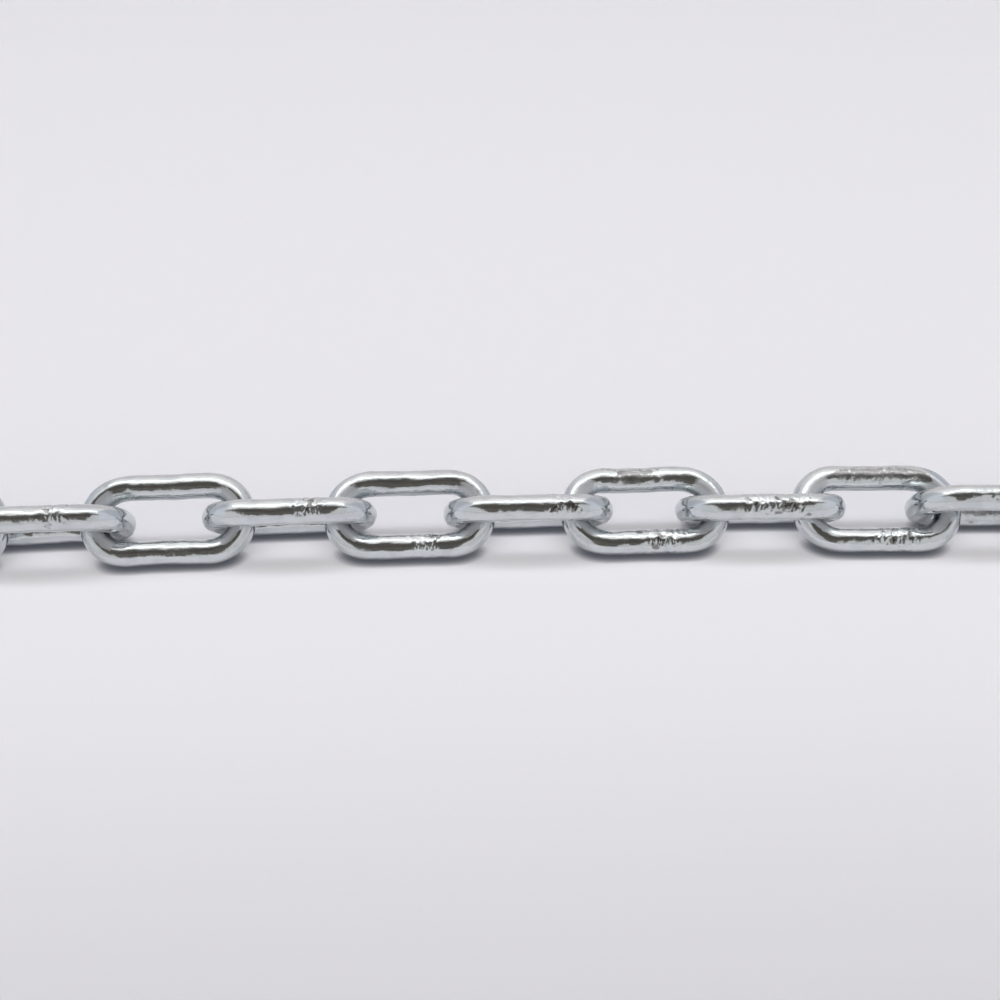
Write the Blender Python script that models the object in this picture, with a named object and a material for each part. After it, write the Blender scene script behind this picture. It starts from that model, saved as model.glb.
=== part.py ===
"""A metre of welded steel chain lying on a level floor, link by link.

The chain runs along X and rests on Z = 0. Neighbouring links cross, so each one leans about
half way over: one of its bars lies on the floor and the other is held up. Links with an even
number lie on the bar towards -Y, links with an odd number on the bar towards +Y.
"""

import math

import bmesh
import bpy
from mathutils import Matrix, Vector

# Sizes in metres.
WIRE = 0.006
INSIDE_LENGTH = 0.0276
INSIDE_WIDTH = 0.009
LINK_COUNT = 36
GAP = 0.0002

# The links that the photograph shows are numbers 15 to 23, and 19 is in its middle. Here are
# the lean of each one's plane from level, in degrees, and how much slack follows it. The
# links before and after them repeat the nine.
FIRST_SEEN = 15
MIDDLE_LINK = 19
LEANS = (45.0, 47.0, 43.0, 41.0, 41.0, 39.0, 38.0, 39.0, 48.0)
SLACK_AFTER = (0.0, 0.0001, 0.0, 0.0, 0.0002, 0.0003, 0.0002, 0.0003, 0.0)

# The run is not quite straight: it sways across itself in waves with flat tops, of about
# this height and of this length.
SWAY = 0.0019
SWAY_LENGTH = 0.38

# Sides round the wire, the lean at which one of them faces the floor without a turn, and the
# bends that take the wire half way round at each end of a link.
SIDES = 12
FLAT_DOWN_LEAN = 45.0
BENDS_PER_END = 8
BEND_STEP = math.pi / BENDS_PER_END

BAR_OFFSET = (INSIDE_WIDTH + WIRE) / 2
BAR_HALF_LENGTH = (INSIDE_LENGTH + WIRE) / 2 - BAR_OFFSET
# Corner radius that gives the many-sided wire the area of the round one.
CORNER_RADIUS = WIRE / 2 * math.sqrt(2 * math.pi / (SIDES * math.sin(2 * math.pi / SIDES)))
FLAT_RADIUS = CORNER_RADIUS * math.cos(math.pi / SIDES)

ZINC_COLOUR = (0.62, 0.65, 0.70, 1.0)
ZINC_ROUGHNESS = 0.22


def remove_everything():
    """Start from an empty scene."""
    for old in list(bpy.data.objects):
        bpy.data.objects.remove(old, do_unlink=True)


def seen(number):
    """Which of the nine seen links a link is or repeats."""
    return (number - FIRST_SEEN) % len(LEANS)


def sway_at(x):
    """Distance across the run and heading in radians, at a place along it.

    A ninth of the third harmonic, taken off a cosine, flattens its tops.
    """
    wave = 2 * math.pi / SWAY_LENGTH
    across = SWAY * (math.cos(wave * x) - math.cos(3 * wave * x) / 9)
    slope = -SWAY * wave * (math.sin(wave * x) - math.sin(3 * wave * x) / 3)
    return across, math.atan(slope)


def spacing_after(number):
    """Distance from the middle of one link to the middle of the next."""
    return INSIDE_LENGTH - 2 * (CORNER_RADIUS - WIRE / 2) - GAP - SLACK_AFTER[seen(number)]


def places_along():
    """Place of every link's middle along X, with the middle link at zero."""
    along = {MIDDLE_LINK: 0.0}
    for number in range(MIDDLE_LINK, LINK_COUNT):
        heading = sway_at(along[number])[1]
        along[number + 1] = along[number] + spacing_after(number) * math.cos(heading)
    for number in range(MIDDLE_LINK, 1, -1):
        heading = sway_at(along[number])[1]
        along[number - 1] = along[number] - spacing_after(number - 1) * math.cos(heading)
    return along


def link_frame(number, along):
    """Matrix that takes a link from its own axes to its place on the floor.

    In its own axes a link is long in X and wide in Y, and lies flat in Z.
    """
    across, heading = sway_at(along)
    lean = math.radians(LEANS[seen(number)])
    height = FLAT_RADIUS + BAR_OFFSET * math.sin(lean)
    signed = lean if number % 2 == 0 else -lean
    return (Matrix.Translation((along, across, height))
            @ Matrix.Rotation(heading, 4, "Z") @ Matrix.Rotation(signed, 4, "X"))


def ring_corners(end, angle, phase):
    """Corners of the wire's section at one bend, in the link's own axes."""
    outward = Vector((end * math.cos(angle), math.sin(angle), 0.0))
    stretch = 1 / math.cos(BEND_STEP / 2)
    centre = Vector((end * BAR_HALF_LENGTH, 0.0, 0.0)) + outward * (BAR_OFFSET * stretch)
    corners = []
    for side in range(SIDES):
        turn = phase + 2 * math.pi * side / SIDES
        across = outward * (CORNER_RADIUS * stretch * math.cos(turn))
        corners.append(centre + across + Vector((0.0, 0.0, CORNER_RADIUS * math.sin(turn))))
    return corners


def link_rings(number):
    """Sections round the whole link, one at each bend.

    The section is turned so that one of its flats faces the floor when the link leans.
    """
    phase = math.radians(LEANS[seen(number)] - FLAT_DOWN_LEAN)
    rings = []
    first = -(BENDS_PER_END - 1) / 2
    for end in (1, -1):
        for bend in range(BENDS_PER_END):
            angle = end * (first + bend) * BEND_STEP
            rings.append(ring_corners(end, angle, phase))
    return rings


def zinc_material(name):
    """Bright zinc over steel, as the photograph shows it."""
    material = bpy.data.materials.new(name)
    material.use_nodes = True
    shader = material.node_tree.nodes["Principled BSDF"]
    shader.inputs["Base Color"].default_value = ZINC_COLOUR
    shader.inputs["Metallic"].default_value = 1.0
    shader.inputs["Roughness"].default_value = ZINC_ROUGHNESS
    return material


def link_mesh(number, frame):
    """Closed skin of one link, in place."""
    mesh = bmesh.new()
    rings = [[mesh.verts.new(frame @ corner) for corner in ring] for ring in link_rings(number)]
    for here, after in zip(rings, rings[1:] + rings[:1]):
        for side in range(SIDES):
            beside = (side + 1) % SIDES
            face = mesh.faces.new((here[side], after[side], after[beside], here[beside]))
            face.smooth = True
    bmesh.ops.recalc_face_normals(mesh, faces=mesh.faces)
    data = bpy.data.meshes.new("link_%02d" % number)
    mesh.to_mesh(data)
    mesh.free()
    return data


def centre_on_origin(meshes):
    """Shift along X and Y that puts the middle of the whole run over the origin."""
    xs = [vertex.co.x for mesh in meshes for vertex in mesh.vertices]
    ys = [vertex.co.y for mesh in meshes for vertex in mesh.vertices]
    return Vector((-(min(xs) + max(xs)) / 2, -(min(ys) + max(ys)) / 2, 0.0))


def build_chain():
    """Make every link as an object of its own."""
    along = places_along()
    meshes = [link_mesh(n, link_frame(n, along[n])) for n in range(1, LINK_COUNT + 1)]
    shift = Matrix.Translation(centre_on_origin(meshes))
    for mesh in meshes:
        mesh.transform(shift)
        mesh.materials.append(zinc_material("zinc_" + mesh.name))
        link = bpy.data.objects.new(mesh.name, mesh)
        bpy.context.scene.collection.objects.link(link)


remove_everything()
build_chain()
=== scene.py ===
"""A metre of zinc-plated welded chain, and the small studio that it is pictured in.

Each packed link is replaced by a finer skin of the same size in the same place: wire bent to a
loop, a little out of true, dented and rippled as drawn and plated wire is, with a rough weld in
its long side. Every link rides on the body of the link that it replaces.
"""

import math

import bpy
import numpy as np
from bpy.props import FloatProperty, FloatVectorProperty, IntProperty, PointerProperty
from mathutils import Matrix, Vector


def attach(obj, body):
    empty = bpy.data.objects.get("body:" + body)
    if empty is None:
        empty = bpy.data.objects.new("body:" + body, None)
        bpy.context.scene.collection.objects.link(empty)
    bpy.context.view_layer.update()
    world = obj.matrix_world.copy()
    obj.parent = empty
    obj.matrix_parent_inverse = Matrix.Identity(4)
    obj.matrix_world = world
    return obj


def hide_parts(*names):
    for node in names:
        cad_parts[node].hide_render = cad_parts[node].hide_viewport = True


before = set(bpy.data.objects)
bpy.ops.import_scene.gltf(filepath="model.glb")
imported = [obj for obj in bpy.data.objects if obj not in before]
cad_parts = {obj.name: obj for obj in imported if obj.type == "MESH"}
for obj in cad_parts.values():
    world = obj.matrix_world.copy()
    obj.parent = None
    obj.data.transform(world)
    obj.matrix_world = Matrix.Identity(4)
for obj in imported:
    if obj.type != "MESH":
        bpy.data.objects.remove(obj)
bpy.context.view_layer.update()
PACKED_LINKS = sorted(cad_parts)

bl_info = {
    "name": "Welded Chain",
    "version": (1, 0, 0),
    "blender": (4, 5, 0),
    "location": "3D View > Sidebar > Chain",
    "description": "Makes a metre of zinc-plated welded chain and the studio that it lies in",
    "category": "Add Mesh",
}

MM = 0.001

# The welds that can be seen, by link: place along the near long side from its middle and
# length of the rough patch, both in millimetres, and height against the usual one.
SEEN_WELDS = {
    15: (4.5, 7.0, 0.7),
    16: (2.0, 5.0, 0.15),
    17: (5.0, 6.0, 1.0),
    18: (3.4, 7.0, 1.0),
    19: (7.5, 7.0, 1.0),
    20: (3.5, 9.0, 1.0),
    21: (1.0, 14.0, 0.9),
    22: (3.0, 8.0, 0.9),
    23: (-2.0, 5.0, 0.1),
}
# Stained stretches on the far long side of some links, in the same three numbers.
SEEN_STAINS = {20: (-2.0, 16.0, 0.2), 22: (1.0, 18.0, 0.08), 23: (0.0, 7.0, 0.3)}
# Ranges from which the three numbers of the other links' welds are drawn.
UNSEEN_WELDS = ((-4, 7), (5, 10), (0.3, 1))
# Upwards and towards the camera, where every weld faces.
WELDS_FACE = np.array([0.0, -0.5, 0.87])

# Sets of random bumps in the wire's skin: longest and shortest wave, number of waves, and
# stretch along the wire.
DENT_WAVES = (10 * MM, 3 * MM, 40, 1.4)
RIPPLE_WAVES = (2.6 * MM, 1.2 * MM, 60, 1.6)
LUMP_WAVES = (2.4 * MM, 1.1 * MM, 70, 1.0)
CRUST_WAVES = (1.1 * MM, 0.7 * MM, 70, 1.0)
RAGGED_EDGE_WAVES = (9 * MM, 2 * MM, 12, 1.0)

# Whole waves round the loop in the slow wandering of the wire's line and of its thickness, the
# size of the second one against the thickness, and the last of their random phases, which is
# just past a whole turn.
LINE_WAVES = (2, 3, 4, 5)
THICKNESS_WAVES = (1, 2, 3, 5)
THICKNESS_SWING = 0.006
LAST_PHASE = 6.3

# Points on a curve that is worked out as a running sum.
CURVE_POINTS = 4097
# Steps along the wire are crowded near a weld: how far from its middle, against its length, and
# how many extra steps are in its middle for each one elsewhere.
CROWDED_REACH = 0.8
CROWDING = 2.5

# Noises in the plating: waves a metre, detail and roughness.
STREAKS = (2600.0, 2.0, 0.6)
CLOUDS = (260.0, 3.0, 0.5)
DIMPLES = (750.0, 2.0, 0.5)
CRUMBS = (380.0, 1.6, 0.5)
# Noises that fray the other skins, by the mesh attribute that says where each skin lies, and
# how much of the noise is added to it.
FRAYS = {
    "weld_skin": ((480.0, 1.5, 0.5), 1.7),
    "dull_skin": ((900.0, 2.0, 0.6), 0.9),
    "stained_skin": ((850.0, 3.0, 0.7), 2.6),
}
# Values between which a noise or a frayed skin rises from nothing to its full share. Pits are
# only where both theirs have risen, the one of the hollows between crumbs and the weld's own.
CLOUDS_RISE = (0.42, 0.72)
CRUMBLY_RISE = (0.42, 0.62)
HOLLOWS_RISE = (0.56, 0.64)
PITTED_RISE = (0.5, 0.8)
BEND_RISE = (0.2, 0.8)
STAIN_RISE = (0.5, 0.85)
# The streaks: scale of their places along the wire, which draws them out, the least and the
# greatest roughness in them against the usual one, and strength of their bump.
STREAKS_SCALE = 0.12
STREAKS_GLOSS = (0.7, 1.3)
STREAKS_STRENGTH = 0.8
CRUMBS_HEIGHT = 0.32 * MM
DIMPLES_HEIGHT = 0.045 * MM
STREAKS_HEIGHT = 0.02 * MM

# The floor: how far it reaches, its brightness in front, a painted shade of the light falling off,
# the stretch along Y over which it gets there, how near a thing has to be to darken it with a
# painted contact shadow, and the shares of free space between which that painted shadow ends.
FLOOR_REACH = 8.0
PAINTED_FRONT_SHADE = 0.82
FRONT_RISE = (-0.15, -0.03)
CONTACT_REACH = 3 * MM
CONTACT_RISE = (0.3, 0.92)

# The tent that shiny things mirror: levels of grey by the share of the half turn from level in
# front over the top to level behind.
TENT_FRONT = [(0.0, 0.55), (0.018, 0.50)]
TENT_OPENING = [(0.036, 0.082), (0.16, 0.095), (0.26, 0.065), (0.34, 0.077), (0.375, 0.12)]
TENT_BESIDE = [(0.0, 0.58), (0.28, 0.56), (0.335, 0.20), (0.375, 0.20)]
TENT_TOP = [(0.43, 0.76), (0.475, 0.95), (0.56, 1.0), (0.62, 0.92)]
TENT_BACK = [(0.70, 0.80), (0.745, 0.64), (0.88, 0.60), (1.0, 0.57)]
TENT_ENDS = [(0.5, (0.61, 0.62, 0.67)), (0.65, (0.46, 0.47, 0.51))]
OPENING_TINT = (1.06, 0.985, 0.90)
BACK_TINT = (1.03, 0.98, 0.99)
# Shares at which the opening and the slant of its sides end, how far each side slants outwards
# over a whole share, and the stretch over which it gives way to the tent beside it.
OPENING_END, SLANT_END = 0.385, 0.4
RIGHT_SLANT, RIGHT_RISE = 1.15, (0.02, 0.14)
LEFT_SLANT, LEFT_RISE = 1.3, (0.06, 0.20)
# Clutter in the opening: its noise, the values between which it rises, its strength, its colour.
CLUTTER = (7.0, 3.0, 0.6)
CLUTTER_RISE = (0.42, 0.66)
CLUTTER_STRENGTH = 0.035
CLUTTER_COLOUR = (1.0, 0.86, 0.72)
# How far along the chain the tent's ends begin and are reached, and how much sooner that is
# overhead, past these shares.
ENDS_RISE = (0.62, 0.82)
SOONER_OVERHEAD, OVERHEAD_RISE = 0.2, (0.42, 0.52)

# The light on matt things, by the same share, and its two tints.
SOFT_FRONT = [(0.25, 0.65), (0.36, 0.26), (0.53, 0.26)]
SOFT_STRIP = [(0.545, 2.25), (0.585, 2.25)]
SOFT_BACK = [(0.60, 0.16), (1.0, 0.12)]
WARM_TINT, COOL_TINT = (1.0, 0.986, 0.93), (1.0, 1.025, 1.13)

SENSOR_WIDTH = 36.0
NEAREST_SEEN, FARTHEST_SEEN = 0.01, 100.0


class ChainLinkSizes(bpy.types.PropertyGroup):
    """Sizes of one link and of the flaws in its skin."""

    wire: FloatProperty(
        name="Wire", description="Thickness of the wire", default=5.94 * MM, unit="LENGTH")
    inside_length: FloatProperty(
        name="Inside length", description="Free length inside a link", default=27.6 * MM,
        unit="LENGTH")
    inside_width: FloatProperty(
        name="Inside width", description="Free width inside a link", default=9.0 * MM,
        unit="LENGTH")
    bend_ease: FloatProperty(
        name="Bend ease", description="Distance over which a long side turns into a bend",
        default=0.7 * MM, unit="LENGTH")
    wobble: FloatProperty(
        name="Wobble", description="How far the wire's line strays from the true loop",
        default=0.07 * MM, unit="LENGTH")
    dent: FloatProperty(
        name="Dents", description="Height of the broad dents in the wire's skin",
        default=0.034 * MM, unit="LENGTH")
    ripple: FloatProperty(
        name="Ripples", description="Height of the fine ripples in the wire's skin",
        default=0.008 * MM, unit="LENGTH")
    weld: FloatProperty(
        name="Weld height", description="Height of the lumps of a usual weld",
        default=0.12 * MM, unit="LENGTH")
    steps_along: IntProperty(
        name="Steps along", description="Faces along the whole loop of a link", default=224,
        min=64)
    steps_around: IntProperty(
        name="Steps around", description="Faces around the wire", default=48, min=12)
    seed: IntProperty(
        name="Seed", description="Chooses the flaws; each link adds its own number", default=40)


class ChainZincFinish(bpy.types.PropertyGroup):
    """Colour and gloss of the zinc plating."""

    bright: FloatVectorProperty(
        name="Bright zinc", description="Colour of the clean plating", subtype="COLOR",
        default=(0.65, 0.68, 0.69), min=0.0, max=1.0)
    dull: FloatVectorProperty(
        name="Dull zinc", description="Colour of the clouds in the clean plating",
        subtype="COLOR", default=(0.58, 0.61, 0.625), min=0.0, max=1.0)
    unburnished: FloatVectorProperty(
        name="Unburnished zinc", description="Colour of the plating on the bends",
        subtype="COLOR", default=(0.65, 0.665, 0.68), min=0.0, max=1.0)
    stained: FloatVectorProperty(
        name="Stained zinc", description="Colour of the stained stretches", subtype="COLOR",
        default=(0.35, 0.345, 0.345), min=0.0, max=1.0)
    pitted: FloatVectorProperty(
        name="Weld pits", description="Colour in the pits of a weld", subtype="COLOR",
        default=(0.27, 0.262, 0.255), min=0.0, max=1.0)
    roughness: FloatProperty(
        name="Roughness", description="Roughness of the clean plating", default=0.11,
        min=0.0, max=1.0, subtype="FACTOR")
    bend_roughness: FloatProperty(
        name="Bend roughness", description="Roughness of the plating on the bends",
        default=0.54, min=0.0, max=1.0, subtype="FACTOR")
    weld_roughness: FloatProperty(
        name="Weld roughness", description="Roughness of the plating over a weld",
        default=0.2, min=0.0, max=1.0, subtype="FACTOR")
    stain_roughness: FloatProperty(
        name="Stain roughness", description="Roughness of the stained stretches",
        default=0.3, min=0.0, max=1.0, subtype="FACTOR")


class ChainStudio(bpy.types.PropertyGroup):
    """The floor, the light and the camera."""

    floor: FloatVectorProperty(
        name="Floor", description="Colour of the floor", subtype="COLOR",
        default=(0.90, 0.885, 0.922), min=0.0, max=1.0)
    # Painted shadow: the floor's colour where something touches it, standing in for its contact
    # shadow.
    painted_contact_shadow: FloatVectorProperty(
        name="Contact shade", description="Colour of the floor where something touches it",
        subtype="COLOR", default=(0.205, 0.213, 0.25), min=0.0, max=1.0)
    # Painted light: the floor glows though it is no lamp, which lifts its shadows.
    painted_floor_glow: FloatProperty(
        name="Floor glow", description="Light that the floor gives off, as a lit table does",
        default=0.215, min=0.0)
    lamp_power: FloatProperty(
        name="Lamp power", description="Power of the soft lamp overhead, in watts",
        default=0.95, min=0.0)
    lamp_length: FloatProperty(
        name="Lamp length", description="Length of the lamp along the chain", default=1.2,
        unit="LENGTH")
    lamp_width: FloatProperty(
        name="Lamp width", description="Width of the lamp across the chain", default=0.21,
        unit="LENGTH")
    lamp_height: FloatProperty(
        name="Lamp height", description="Height of the lamp over the floor", default=1.0,
        unit="LENGTH")
    lamp_back: FloatProperty(
        name="Lamp back", description="How far the lamp hangs behind the chain",
        default=0.07, unit="LENGTH")
    room_strength: FloatProperty(
        name="Room strength", description="Brightness of the white room around the chain",
        default=1.25, min=0.0)
    backdrop: FloatVectorProperty(
        name="Backdrop", description="Colour that the camera sees past the floor",
        subtype="COLOR", default=(0.80, 0.80, 0.83), min=0.0, max=1.0)
    look_at: FloatVectorProperty(
        name="Look at", description="Point in the middle of the picture", size=3,
        default=(0.00734, 0.00703, 0.008), subtype="XYZ", unit="LENGTH", precision=5)
    distance: FloatProperty(
        name="Distance", description="Distance of the camera from that point", default=0.27,
        unit="LENGTH")
    elevation: FloatProperty(
        name="Elevation", description="How steeply the camera looks down",
        default=math.radians(32.64), subtype="ANGLE")
    heading: FloatProperty(
        name="Heading", description="How far the camera looks off the line across the chain",
        default=math.radians(2.97), subtype="ANGLE")
    roll: FloatProperty(
        name="Roll", description="How far the camera is tipped to its side",
        default=math.radians(0.52), subtype="ANGLE")
    focal_length: FloatProperty(
        name="Focal length", description="Focal length in millimetres on a 36 mm sensor",
        default=41.475, min=1.0)


def link_number(node):
    """Number at the end of a packed link's name."""
    return int(node.rsplit("_", 1)[1])


def link_axes(node):
    """Middle, long axis, wide axis and plane normal of a packed link.

    The axes are those along which the link's own points spread most, second and least. The
    long axis points along +X and the wide one towards +Y.
    """
    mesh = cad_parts[node].data
    points = np.empty(len(mesh.vertices) * 3)
    mesh.vertices.foreach_get("co", points)
    points = np.unique(points.reshape(-1, 3).round(6), axis=0)
    middle = points.mean(axis=0)
    axes = np.linalg.svd(points - middle, full_matrices=False)[2]
    long_axis = axes[0] * np.sign(axes[0, 0])
    wide_axis = axes[1] * np.sign(axes[1, 1])
    return middle, long_axis, wide_axis, np.cross(long_axis, wide_axis)


def eased_ramp(distance, start, length, ease):
    """Rises by one over a stretch of the loop, with softened corners.

    It is the difference of two soft ramps, each the logarithm of one plus an exponential.
    """
    first = np.logaddexp(0, (distance - start) / ease)
    last = np.logaddexp(0, (distance - start - length) / ease)
    return (first - last) * ease / length


def loop_length(half_side, bend):
    """Length of the wire's centre line: four half sides and two half circles."""
    return 4 * half_side + 2 * math.pi * bend


def bent_loop(distance, half_side, bend, ease):
    """Centre line of a link and its outward direction, at distances along the wire.

    The wire starts in the middle of its near long side. Its outward direction turns half way
    round at each bend and keeps still along the sides, and the line itself is the running sum
    of the direction square to that. Returns two arrays of two columns, long and wide.
    """
    whole = loop_length(half_side, bend)
    fine = np.linspace(0, whole, CURVE_POINTS)
    half_turn = math.pi * bend
    turn = (-math.pi / 2
            + math.pi * eased_ramp(fine, half_side, half_turn, ease)
            + math.pi * eased_ramp(fine, 3 * half_side + half_turn, half_turn, ease))
    step = whole / (len(fine) - 1)
    heading = np.stack([-np.sin(turn), np.cos(turn)], axis=1)
    middle_of_step = (heading[1:] + heading[:-1]) / 2 * step
    line = np.vstack([[0, 0], np.cumsum(middle_of_step, axis=0)])
    line -= (line.max(axis=0) + line.min(axis=0)) / 2
    where = np.mod(distance, whole)
    place = np.stack([np.interp(where, fine, line[:, k]) for k in (0, 1)], axis=-1)
    turn = np.interp(where, fine, turn)
    return place, np.stack([np.cos(turn), np.sin(turn)], axis=-1)


def wrapped(distance, whole):
    """Signed distance the short way round a loop."""
    return np.mod(distance + whole / 2, whole) - whole / 2


def crowded_steps(start, whole, count, centre, spread, extra):
    """Distances once round the wire from a start, closer together near a weld.

    The steps follow the inverse of a running sum of one plus a bell curve over the weld.
    """
    fine = start + np.linspace(0, whole, CURVE_POINTS)
    gap = np.abs(wrapped(fine - centre, whole))
    density = 1 + extra * np.exp(-(gap / spread) ** 2)
    running = np.concatenate([[0], np.cumsum((density[1:] + density[:-1]) / 2)])
    return np.interp(np.arange(count) / count * running[-1], running, fine)


def random_waves(chance, along, around, whole, girth, longest, shortest, count, stretch):
    """Even, endless bumps over the wire's skin, of about unit height.

    It is a sum of cosines of random directions and wave lengths, each with a whole number of
    waves along the loop and around the wire, so that it closes on itself both ways. A stretch
    over one draws the bumps out along the wire.
    """
    length = np.exp(chance.uniform(math.log(shortest), math.log(longest), count))
    direction = chance.uniform(0, 2 * math.pi, count)
    waves_along = np.round(whole * np.cos(direction) / length / stretch)
    waves_around = np.round(girth * np.sin(direction) / length)
    start = chance.uniform(0, 2 * math.pi, count)
    total = np.zeros(np.broadcast_shapes(along.shape, around.shape))
    for wave, turns, phase in zip(waves_along, waves_around, start):
        total += np.cos(2 * math.pi * wave * along / whole + turns * around + phase)
    return total * math.sqrt(2 / count)


def slow_waves(chance, along, whole, orders):
    """A slow wandering along the loop: a sum of a few whole waves of random size."""
    total = np.zeros_like(along)
    for order in orders:
        size = chance.normal(0, 1 / math.sqrt(len(orders)))
        phase = chance.uniform(0, LAST_PHASE)
        total += size * np.cos(2 * math.pi * order * along / whole + phase)
    return total


def patch(gap, half, edge):
    """One inside a stretch of the wire and zero outside, with edges of the given width.

    It is a logistic curve of the distance past the stretch's end, whose exponent is clipped
    only to stay in range.
    """
    return 1 / (1 + np.exp(np.clip((np.abs(gap) - half) / edge, -40, 40)))


def rough_patch(chance, along, around, whole, girth, centre, length, facing):
    """Lumps of one rough stretch, in a patch along the wire and mostly on one side of it.

    Two sets of random bumps, the coarse one pushed towards flat tops and floors so that it
    breaks into facets, are raised a little and cut to a patch with a ragged edge. Returns the
    height, against a usual weld, and how far a point lies in the patch.
    """
    raggedness, edge, one_sidedness = 0.22, 0.22 * MM, 1.5
    facets, sharpness, crust, raised = 0.55, 1.8, 0.22, 0.15
    ragged = 1 + raggedness * random_waves(
        chance, 0 * along, around, whole, girth, *RAGGED_EDGE_WAVES)
    gap = wrapped(along - centre, whole)
    inside = patch(gap, length / 2 * ragged, edge)
    side = (0.5 + 0.5 * np.cos(around - facing)) ** one_sidedness
    coarse = random_waves(chance, along, around, whole, girth, *LUMP_WAVES)
    fine = random_waves(chance, along, around, whole, girth, *CRUST_WAVES)
    lumps = facets * np.tanh(sharpness * coarse) + crust * fine + raised
    return inside * side * lumps, inside * side


def unburnished(outward, around):
    """How far a point lies on the duller skin of a bend.

    It grows with the turn of the bend, as a smooth step of the outward direction's part along
    the link, and covers the link's two flat faces but not the crown and the inside of the
    bend. A ridge in each face, a little outside of its middle, stays bright, where links rub
    on each other. The face and the ridge are flat-topped bell curves of the angle around.
    """
    first_turn, turn_range = 0.1, 0.6
    face_at, face_width = math.radians(92), math.radians(50)
    ridge_at, ridge_width = math.radians(75), math.radians(14)
    turned = np.clip((np.abs(outward[:, 0]) - first_turn) / turn_range, 0, 1)
    angle = np.abs(wrapped(around, 2 * math.pi))
    face = np.exp(-((angle - face_at) / face_width) ** 6)
    ridge = np.exp(-((angle - ridge_at) / ridge_width) ** 4)
    return (turned * turned * (3 - 2 * turned))[:, None] * face * (1 - ridge)


def wire_skin(line, outward, upwards, around, radius):
    """Points of the skin round a bent wire, in the columns long, wide and normal.

    Each is the centre line plus the radius, by the cosine of the angle around in the outward
    direction and by its sine square to the link's plane.
    """
    skin = np.empty(radius.shape + (3,))
    across = outward[:, None, :] * np.cos(around)[..., None] * radius[..., None]
    skin[..., :2] = line[:, None, :] + across
    skin[..., 2] = upwards[:, None] + np.sin(around) * radius
    return skin


def unrolled_wire(along, around, radius):
    """Places on a straight, even wire: round it in the first two columns, along it in the last."""
    places = np.empty(np.broadcast_shapes(along.shape, around.shape) + (3,))
    places[..., 0] = radius * np.cos(around)
    places[..., 1] = radius * np.sin(around)
    places[..., 2] = along
    return places


def link_skin(sizes, number, facing):
    """Skin of one link in its own axes, as a closed grid along and around the wire.

    The wire's line and its radius have small seeded flaws: a slow wandering, dents, ripples
    and the lumps of the weld and of a stain. Returns the points, each one's place on the
    unrolled wire, and by name how far it lies in a weld, on the duller skin of a bend and in
    a stain.
    """
    chance = np.random.default_rng(sizes.seed + number)
    bend = (sizes.inside_width + sizes.wire) / 2
    half_side = (sizes.inside_length + sizes.wire) / 2 - bend
    whole, girth = loop_length(half_side, bend), math.pi * sizes.wire
    drawn = [chance.uniform(low, high) for low, high in UNSEEN_WELDS]
    place, length, height = SEEN_WELDS.get(number, drawn)
    tip = half_side + math.pi / 2 * bend
    along = crowded_steps(tip, whole, sizes.steps_along, place * MM,
                          length * CROWDED_REACH * MM, CROWDING)[:, None]
    around = (np.arange(sizes.steps_around) / sizes.steps_around * 2 * math.pi)[None, :]

    line, outward = bent_loop(along[:, 0], half_side, bend, sizes.bend_ease)
    sideways = sizes.wobble * slow_waves(chance, along[:, 0], whole, LINE_WAVES)
    upwards = sizes.wobble * slow_waves(chance, along[:, 0], whole, LINE_WAVES)
    line = line + outward * sideways[:, None]

    swing = THICKNESS_SWING * slow_waves(chance, along, whole, THICKNESS_WAVES)
    dents = random_waves(chance, along, around, whole, girth, *DENT_WAVES)
    ripples = random_waves(chance, along, around, whole, girth, *RIPPLE_WAVES)
    radius = sizes.wire / 2 * (1 + swing)
    radius = radius + sizes.dent * dents + sizes.ripple * ripples

    lumps, in_patch = rough_patch(
        chance, along, around, whole, girth, place * MM, length * MM, facing)
    radius = radius + sizes.weld * height * lumps
    least_weld = 0.5
    in_weld = in_patch * min(1.0, least_weld + height)
    stain = np.zeros_like(in_weld)
    if number in SEEN_STAINS:
        place, length, height = SEEN_STAINS[number]
        middle_of_far_side = whole / 2
        lumps, in_patch = rough_patch(
            chance, along, around, whole, girth, middle_of_far_side - place * MM, length * MM,
            math.pi - facing)
        radius = radius + sizes.weld * height * lumps
        least_stain, narrowing = 0.45, 6
        in_weld = np.maximum(in_weld, in_patch * (least_stain + height))
        stain = in_patch ** narrowing

    skin = wire_skin(line, outward, upwards, around, radius)
    unrolled = unrolled_wire(along, around, sizes.wire / 2)
    return skin, unrolled, {
        "weld_skin": in_weld, "dull_skin": unburnished(outward, around), "stained_skin": stain}


def closed_grid_mesh(name, points):
    """Smooth mesh over a grid of points that closes on itself along and around.

    Each face joins a point to the next along, the next along and around, and the next around.
    """
    rows, columns = points.shape[:2]
    index = np.arange(rows * columns).reshape(rows, columns)
    after = np.roll(index, -1, axis=0)
    corners = np.stack(
        [index, after, np.roll(after, -1, axis=1), np.roll(index, -1, axis=1)], axis=-1)
    mesh = bpy.data.meshes.new(name)
    mesh.vertices.add(rows * columns)
    mesh.vertices.foreach_set("co", points.reshape(-1).astype(np.float32))
    mesh.loops.add(corners.size)
    mesh.loops.foreach_set("vertex_index", corners.reshape(-1).astype(np.int32))
    mesh.polygons.add(rows * columns)
    mesh.polygons.foreach_set("loop_start", np.arange(0, corners.size, 4, dtype=np.int32))
    mesh.polygons.foreach_set("use_smooth", np.full(rows * columns, True))
    mesh.update(calc_edges=True)
    if mesh.validate():
        raise ValueError(name + " had faces that Blender had to mend")
    return mesh


def write_attribute(mesh, name, kind, field, values):
    """Put an array with one entry for each point into a new attribute of a mesh."""
    attribute = mesh.attributes.new(name, kind, "POINT")
    attribute.data.foreach_set(field, values.reshape(-1).astype(np.float32))


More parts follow.
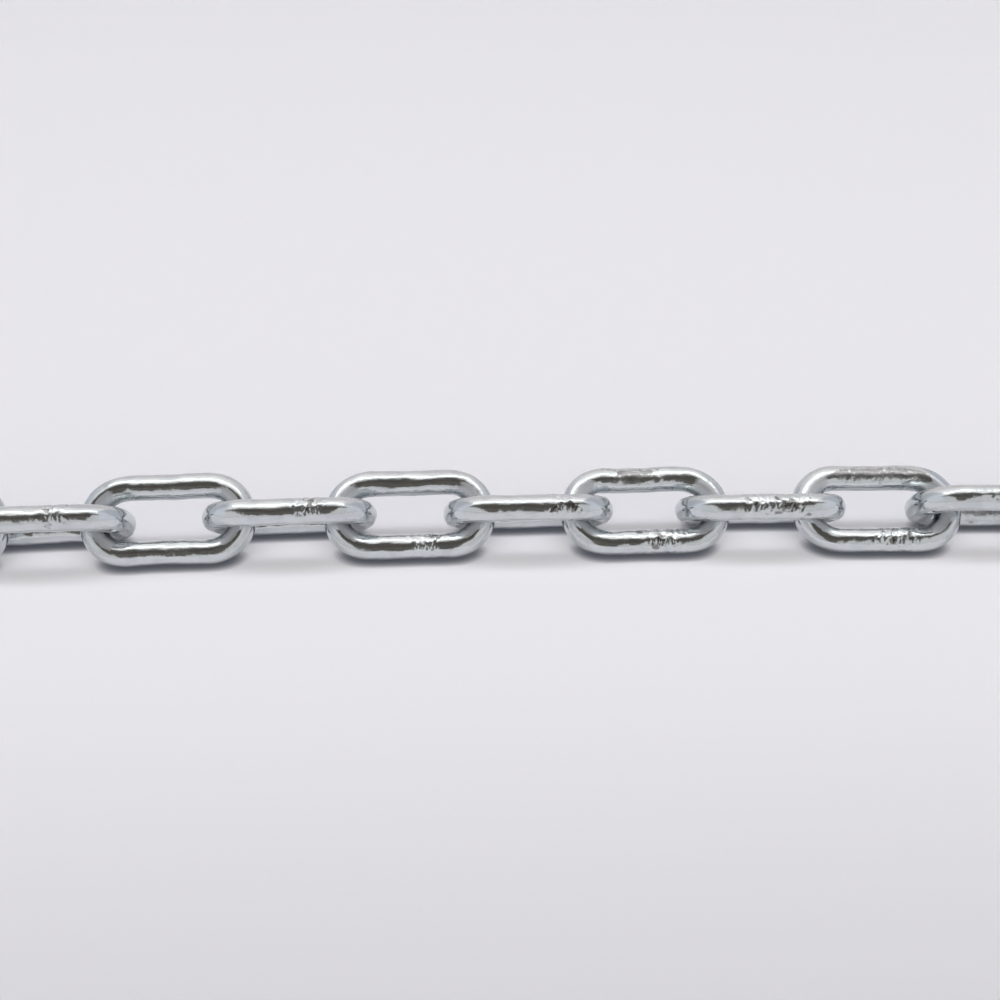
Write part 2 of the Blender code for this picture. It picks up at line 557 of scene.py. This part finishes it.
def add_node(tree, kind, **sockets):
    """Add a shader node and set its inputs by name."""
    node = tree.nodes.new(kind)
    for name, value in sockets.items():
        node.inputs[name.replace("_", " ")].default_value = value
    return node


def mesh_attribute(tree, name, output="Fac"):
    """Output of an attribute that the mesh carries."""
    node = tree.nodes.new("ShaderNodeAttribute")
    node.attribute_name = name
    return node.outputs[output]


def ramp(tree, factor, stops):
    """Colour ramp from a list of places and grey or coloured stops."""
    node = tree.nodes.new("ShaderNodeValToRGB")
    elements = node.color_ramp.elements
    while len(elements) < len(stops):
        elements.new(0.5)
    for element, (place, colour) in zip(elements, stops):
        element.position = place
        colour = (colour,) * 3 if isinstance(colour, float) else tuple(colour)
        element.color = colour + (1.0,)
    tree.links.new(factor, node.inputs["Fac"])
    return node.outputs["Color"]


def tinted(stops, tint):
    """Grey stops of a ramp, each turned into a colour of one tint."""
    return [(place, tuple(level * part for part in tint)) for place, level in stops]


def spread(tree, factor, low, high):
    """Map a factor of zero to one onto a range of values."""
    node = add_node(tree, "ShaderNodeMapRange", To_Min=low, To_Max=high)
    tree.links.new(factor, node.inputs["Value"])
    return node.outputs["Result"]


def soft_step(tree, value, low, high):
    """Zero below one value and one above the other, with a soft rise between them."""
    node = add_node(tree, "ShaderNodeMapRange", From_Min=low, From_Max=high)
    node.interpolation_type = "SMOOTHSTEP"
    tree.links.new(value, node.inputs["Value"])
    return node.outputs["Result"]


def noise(tree, places, scale, detail, roughness):
    """Factor of a noise texture of so many waves to a unit of its places."""
    node = add_node(tree, "ShaderNodeTexNoise", Scale=scale, Detail=detail, Roughness=roughness)
    tree.links.new(places, node.inputs["Vector"])
    return node.outputs["Fac"]


def maths(tree, operation, first, second=None):
    """Result of a sum on two values, each of them a number or a socket."""
    node = tree.nodes.new("ShaderNodeMath")
    node.operation = operation
    for socket, value in zip(node.inputs, (first, second)):
        if isinstance(value, (int, float)):
            socket.default_value = value
        elif value is not None:
            tree.links.new(value, socket)
    return node.outputs["Value"]


def frayed_skin(tree, places, name):
    """How far a point lies in a skin, with a noise added so that its edge gets ragged."""
    waves, strength = FRAYS[name]
    swing = maths(tree, "SUBTRACT", noise(tree, places, *waves), 0.5)
    return maths(tree, "ADD", mesh_attribute(tree, name), maths(tree, "MULTIPLY", swing, strength))


def mixed_value(tree, factor, first, second):
    """Mix of two values, the first a socket and the second a number."""
    node = add_node(tree, "ShaderNodeMix", B=second)
    tree.links.new(factor, node.inputs["Factor"])
    tree.links.new(first, node.inputs["A"])
    return node.outputs["Result"]


def mixed_colour(tree, factor, first, second):
    """Mix of two colours, each of them three numbers or a socket."""
    node = tree.nodes.new("ShaderNodeMix")
    node.data_type = "RGBA"
    tree.links.new(factor, node.inputs["Factor"])
    for name, colour in (("A", first), ("B", second)):
        if isinstance(colour, bpy.types.NodeSocket):
            tree.links.new(colour, node.inputs[name])
        else:
            node.inputs[name].default_value = tuple(colour) + (1.0,)
    return node.outputs["Result"]


def bump(tree, height, distance, strength=1.0, under=None):
    """Bump of a height map, laid over another bump."""
    node = add_node(tree, "ShaderNodeBump", Distance=distance)
    tree.links.new(height, node.inputs["Height"])
    if isinstance(strength, bpy.types.NodeSocket):
        tree.links.new(strength, node.inputs["Strength"])
    else:
        node.inputs["Strength"].default_value = strength
    if under:
        tree.links.new(under, node.inputs["Normal"])
    return node.outputs["Normal"]


def zinc_plating(finish):
    """Bright zinc plating over drawn wire and rough welds.

    The clean plating is cloudy in colour, finely dimpled, and has drawn streaks in its gloss.
    Over a weld it breaks into crumbs with dark pits between them, on the faces of the bends
    it is dull and mottled, and a stained stretch is grey and blotchy. Attributes of the mesh
    say where these three lie, and noises make their edges ragged.
    """
    material = bpy.data.materials.new("bright_zinc_plating")
    material.use_nodes = True
    tree = material.node_tree
    shader = tree.nodes["Principled BSDF"]
    shader.inputs["Metallic"].default_value = 1.0
    places = tree.nodes.new("ShaderNodeTexCoord").outputs["Object"]
    drawn_out = add_node(tree, "ShaderNodeMapping", Scale=(1.0, 1.0, STREAKS_SCALE))
    tree.links.new(mesh_attribute(tree, "unrolled_wire", "Vector"), drawn_out.inputs["Vector"])
    streaks = noise(tree, drawn_out.outputs["Vector"], *STREAKS)

    weld = frayed_skin(tree, places, "weld_skin")
    crumbly = soft_step(tree, weld, *CRUMBLY_RISE)
    crumbs = noise(tree, places, *CRUMBS)
    pits = soft_step(tree, maths(tree, "SUBTRACT", 1.0, crumbs), *HOLLOWS_RISE)
    pits = maths(tree, "MULTIPLY", pits, soft_step(tree, weld, *PITTED_RISE))
    bend = soft_step(tree, frayed_skin(tree, places, "dull_skin"), *BEND_RISE)
    stain = soft_step(tree, frayed_skin(tree, places, "stained_skin"), *STAIN_RISE)

    clouds = soft_step(tree, noise(tree, places, *CLOUDS), *CLOUDS_RISE)
    colour = mixed_colour(tree, clouds, finish.bright, finish.dull)
    for share, over in (
            (bend, finish.unburnished), (stain, finish.stained), (pits, finish.pitted)):
        colour = mixed_colour(tree, share, colour, over)
    tree.links.new(colour, shader.inputs["Base Color"])

    gloss = spread(tree, streaks, *[finish.roughness * part for part in STREAKS_GLOSS])
    for share, over in ((bend, finish.bend_roughness), (crumbly, finish.weld_roughness),
                        (stain, finish.stain_roughness)):
        gloss = mixed_value(tree, share, gloss, over)
    tree.links.new(gloss, shader.inputs["Roughness"])

    relief = bump(tree, crumbs, CRUMBS_HEIGHT, crumbly)
    relief = bump(tree, noise(tree, places, *DIMPLES), DIMPLES_HEIGHT, under=relief)
    relief = bump(tree, streaks, STREAKS_HEIGHT, STREAKS_STRENGTH, relief)
    tree.links.new(relief, shader.inputs["Normal"])
    return material


class CHAIN_OT_forge_links(bpy.types.Operator):
    """Make every link of the chain and put it in the place of its packed link"""

    bl_idname = "chain.forge_links"
    bl_label = "Forge links"

    def execute(self, context):
        sizes, finish = context.scene.chain_link_sizes, context.scene.chain_zinc_finish
        plating = zinc_plating(finish)
        for node in PACKED_LINKS:
            middle, long_axis, wide_axis, normal = link_axes(node)
            facing = math.atan2(WELDS_FACE @ normal, -(WELDS_FACE @ wide_axis))
            skin, unrolled, shares = link_skin(sizes, link_number(node), facing)
            points = middle + skin @ np.stack([long_axis, wide_axis, normal])
            mesh = closed_grid_mesh("zinc_" + node, points)
            write_attribute(mesh, "unrolled_wire", "FLOAT_VECTOR", "vector", unrolled)
            for name, share in shares.items():
                write_attribute(mesh, name, "FLOAT", "value", share)
            mesh.materials.append(plating)
            link = bpy.data.objects.new("zinc_" + node, mesh)
            context.scene.collection.objects.link(link)
            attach(link, node)
            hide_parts(node)
        return {"FINISHED"}


def floor_with_painted_light_and_shade(studio):
    """Matt white floor that glows a little though it is no lamp, painted light that lifts its
    shadows.

    Its colour is darker in front, a painted shade of the light falling off there, and darker where
    something nearly touches it, a painted contact shadow, which is told by how much of the space
    close over a point is free.
    """
    material = bpy.data.materials.new("matt_white_floor")
    material.use_nodes = True
    tree = material.node_tree
    shader = tree.nodes["Principled BSDF"]
    parts = tree.nodes.new("ShaderNodeSeparateXYZ")
    tree.links.new(tree.nodes.new("ShaderNodeTexCoord").outputs["Object"], parts.inputs["Vector"])
    # Painted shade: the floor darkens towards the front as the light falls off.
    far = soft_step(tree, parts.outputs["Y"], *FRONT_RISE)
    front = [part * PAINTED_FRONT_SHADE for part in studio.floor]
    # Painted contact shadow: the floor darkens where the space close over it is taken.
    nearby = add_node(tree, "ShaderNodeAmbientOcclusion", Distance=CONTACT_REACH)
    nearby.samples = 8
    free = soft_step(tree, nearby.outputs["AO"], *CONTACT_RISE)
    colour = mixed_colour(tree, far, front, studio.floor)
    colour = mixed_colour(tree, free, studio.painted_contact_shadow, colour)
    tree.links.new(colour, shader.inputs["Base Color"])
    # Painted light: the floor gives off its own colour as light, though it is no lamp.
    tree.links.new(colour, shader.inputs["Emission Color"])
    shader.inputs["Emission Strength"].default_value = studio.painted_floor_glow
    material.cycles.emission_sampling = "NONE"
    shader.inputs["Roughness"].default_value = 0.9
    shader.inputs["Specular IOR Level"].default_value = 0.1
    return material


def floor_mesh(studio):
    """One square face, level with the chain's underside."""
    reach = FLOOR_REACH
    corners = [(-reach, -reach, 0), (reach, -reach, 0), (reach, reach, 0), (-reach, reach, 0)]
    mesh = bpy.data.meshes.new("white_floor")
    mesh.from_pydata(corners, [], [(0, 1, 2, 3)])
    mesh.materials.append(floor_with_painted_light_and_shade(studio))
    return mesh


def mirrored_tent(tree, direction, along, share):
    """White tent with a dark opening towards the camera, as shiny things mirror it.

    The share of the half turn picks the brightness from a ramp. The opening's sides slant
    outwards, each where the direction's part along the chain is over a multiple of the share,
    sooner to the right than to the left. Its upper edge goes on past them as a thin shade, and
    brown clutter shows in it. Far along the chain either way, the tent is greyer.
    """
    over_top = TENT_TOP + tinted(TENT_BACK, BACK_TINT)
    middle = ramp(tree, share, TENT_FRONT + tinted(TENT_OPENING, OPENING_TINT) + over_top)
    clutter = soft_step(tree, noise(tree, direction, *CLUTTER), *CLUTTER_RISE)
    clutter = maths(tree, "MULTIPLY", clutter, maths(tree, "LESS_THAN", share, OPENING_END))
    clutter = maths(tree, "MULTIPLY", clutter, CLUTTER_STRENGTH)
    middle = mixed_colour(tree, clutter, middle, CLUTTER_COLOUR)

    beside = ramp(tree, share, TENT_BESIDE + over_top)
    height = maths(tree, "MINIMUM", share, SLANT_END)
    right = maths(tree, "SUBTRACT", along, maths(tree, "MULTIPLY", height, RIGHT_SLANT))
    left = maths(tree, "ADD", along, maths(tree, "MULTIPLY", height, LEFT_SLANT))
    left = maths(tree, "MULTIPLY", left, -1.0)
    sides = maths(tree, "MAXIMUM", soft_step(tree, right, *RIGHT_RISE),
                  soft_step(tree, left, *LEFT_RISE))

    sooner = maths(tree, "MULTIPLY", soft_step(tree, share, *OVERHEAD_RISE), SOONER_OVERHEAD)
    far_along = maths(tree, "ADD", maths(tree, "ABSOLUTE", along), sooner)
    far_along = soft_step(tree, far_along, *ENDS_RISE)
    tent = mixed_colour(tree, sides, middle, beside)
    return mixed_colour(tree, far_along, tent, ramp(tree, share, TENT_ENDS))


def soft_light(tree, share):
    """Light for matt things, from a ramp by the share of the half turn.

    A cool bright strip is overhead, and a warmer, weaker light comes from elsewhere, most of
    it from low in front.
    """
    return ramp(tree, share, tinted(SOFT_FRONT, WARM_TINT) + tinted(SOFT_STRIP, COOL_TINT)
                + tinted(SOFT_BACK, WARM_TINT))


def white_room(studio):
    """Light of the room by direction.

    It goes by the direction's angle round the chain's line, as a share of the half turn from
    level in front over the top to level behind. Shiny things mirror a tent, matt things get a
    softer light, and the camera itself sees a plain pale backdrop.
    """
    world = bpy.data.worlds.new("white_room")
    world.use_nodes = True
    tree = world.node_tree
    direction = tree.nodes.new("ShaderNodeTexCoord").outputs["Generated"]
    parts = tree.nodes.new("ShaderNodeSeparateXYZ")
    tree.links.new(direction, parts.inputs["Vector"])
    towards_front = maths(tree, "MULTIPLY", parts.outputs["Y"], -1.0)
    angle = maths(tree, "ARCTAN2", parts.outputs["Z"], towards_front)
    share = maths(tree, "DIVIDE", angle, math.pi)
    tent = mirrored_tent(tree, direction, parts.outputs["X"], share)

    rays = tree.nodes.new("ShaderNodeLightPath")
    room = tree.nodes["Background"]
    room.inputs["Strength"].default_value = studio.room_strength
    light = mixed_colour(tree, rays.outputs["Is Diffuse Ray"], tent, soft_light(tree, share))
    tree.links.new(light, room.inputs["Color"])
    backdrop = add_node(tree, "ShaderNodeBackground", Color=tuple(studio.backdrop) + (1.0,))
    choice = tree.nodes.new("ShaderNodeMixShader")
    tree.links.new(rays.outputs["Is Camera Ray"], choice.inputs["Fac"])
    tree.links.new(room.outputs["Background"], choice.inputs[1])
    tree.links.new(backdrop.outputs["Background"], choice.inputs[2])
    tree.links.new(choice.outputs["Shader"], tree.nodes["World Output"].inputs["Surface"])
    return world


def overhead_lamp(studio):
    """One long soft lamp over the chain, which the camera doesn't see."""
    data = bpy.data.lights.new("overhead_lamp", "AREA")
    data.shape = "RECTANGLE"
    data.size, data.size_y = studio.lamp_length, studio.lamp_width
    data.energy = studio.lamp_power
    lamp = bpy.data.objects.new("overhead_lamp", data)
    lamp.location = (0.0, studio.lamp_back, studio.lamp_height)
    lamp.visible_camera = False
    return lamp


def picture_camera(studio):
    """Camera at the picture's angle, from its distance, heading, elevation and roll."""
    up_angle, side_angle = studio.elevation, studio.heading
    forward = Vector((math.sin(side_angle) * math.cos(up_angle),
                      math.cos(side_angle) * math.cos(up_angle), -math.sin(up_angle)))
    right = Vector((math.cos(side_angle), -math.sin(side_angle), 0.0))
    up = right.cross(forward)
    tipped_right = right * math.cos(studio.roll) + up * math.sin(studio.roll)
    tipped_up = up * math.cos(studio.roll) - right * math.sin(studio.roll)
    data = bpy.data.cameras.new("picture_camera")
    data.sensor_width = SENSOR_WIDTH
    data.lens = studio.focal_length
    data.clip_start, data.clip_end = NEAREST_SEEN, FARTHEST_SEEN
    camera = bpy.data.objects.new("picture_camera", data)
    turn = Matrix((tipped_right, tipped_up, -forward)).transposed().to_4x4()
    camera.matrix_world = Matrix.Translation(
        Vector(studio.look_at) - forward * studio.distance) @ turn
    return camera


class CHAIN_OT_set_studio(bpy.types.Operator):
    """Lay the floor, hang the lamp, light the room and set up the camera"""

    bl_idname = "chain.set_studio"
    bl_label = "Set up studio"

    def execute(self, context):
        studio = context.scene.chain_studio
        floor = bpy.data.objects.new("white_floor", floor_mesh(studio))
        camera = picture_camera(studio)
        for thing in (floor, overhead_lamp(studio), camera):
            context.scene.collection.objects.link(thing)
        context.scene.camera = camera
        context.scene.world = white_room(studio)
        context.scene.view_settings.view_transform = "Standard"
        return {"FINISHED"}


class CHAIN_PT_panel(bpy.types.Panel):
    """Sizes, finish and studio of the chain"""

    bl_idname = "CHAIN_PT_panel"
    bl_label = "Welded chain"
    bl_space_type = "VIEW_3D"
    bl_region_type = "UI"
    bl_category = "Chain"

    def draw(self, context):
        for settings, operator in (
                (context.scene.chain_link_sizes, None),
                (context.scene.chain_zinc_finish, "chain.forge_links"),
                (context.scene.chain_studio, "chain.set_studio")):
            box = self.layout.box()
            for name in settings.__annotations__:
                box.prop(settings, name)
            if operator:
                box.operator(operator)


CLASSES = (ChainLinkSizes, ChainZincFinish, ChainStudio, CHAIN_OT_forge_links,
           CHAIN_OT_set_studio, CHAIN_PT_panel)


def register():
    """Add the classes and their settings to Blender."""
    for each in CLASSES:
        bpy.utils.register_class(each)
    bpy.types.Scene.chain_link_sizes = PointerProperty(type=ChainLinkSizes)
    bpy.types.Scene.chain_zinc_finish = PointerProperty(type=ChainZincFinish)
    bpy.types.Scene.chain_studio = PointerProperty(type=ChainStudio)


def unregister():
    """Take the settings and the classes out again."""
    del bpy.types.Scene.chain_studio
    del bpy.types.Scene.chain_zinc_finish
    del bpy.types.Scene.chain_link_sizes
    for each in reversed(CLASSES):
        bpy.utils.unregister_class(each)


def main():
    """Make the chain and its studio."""
    register()
    bpy.ops.chain.forge_links()
    bpy.ops.chain.set_studio()


if __name__ == "__main__":
    main()
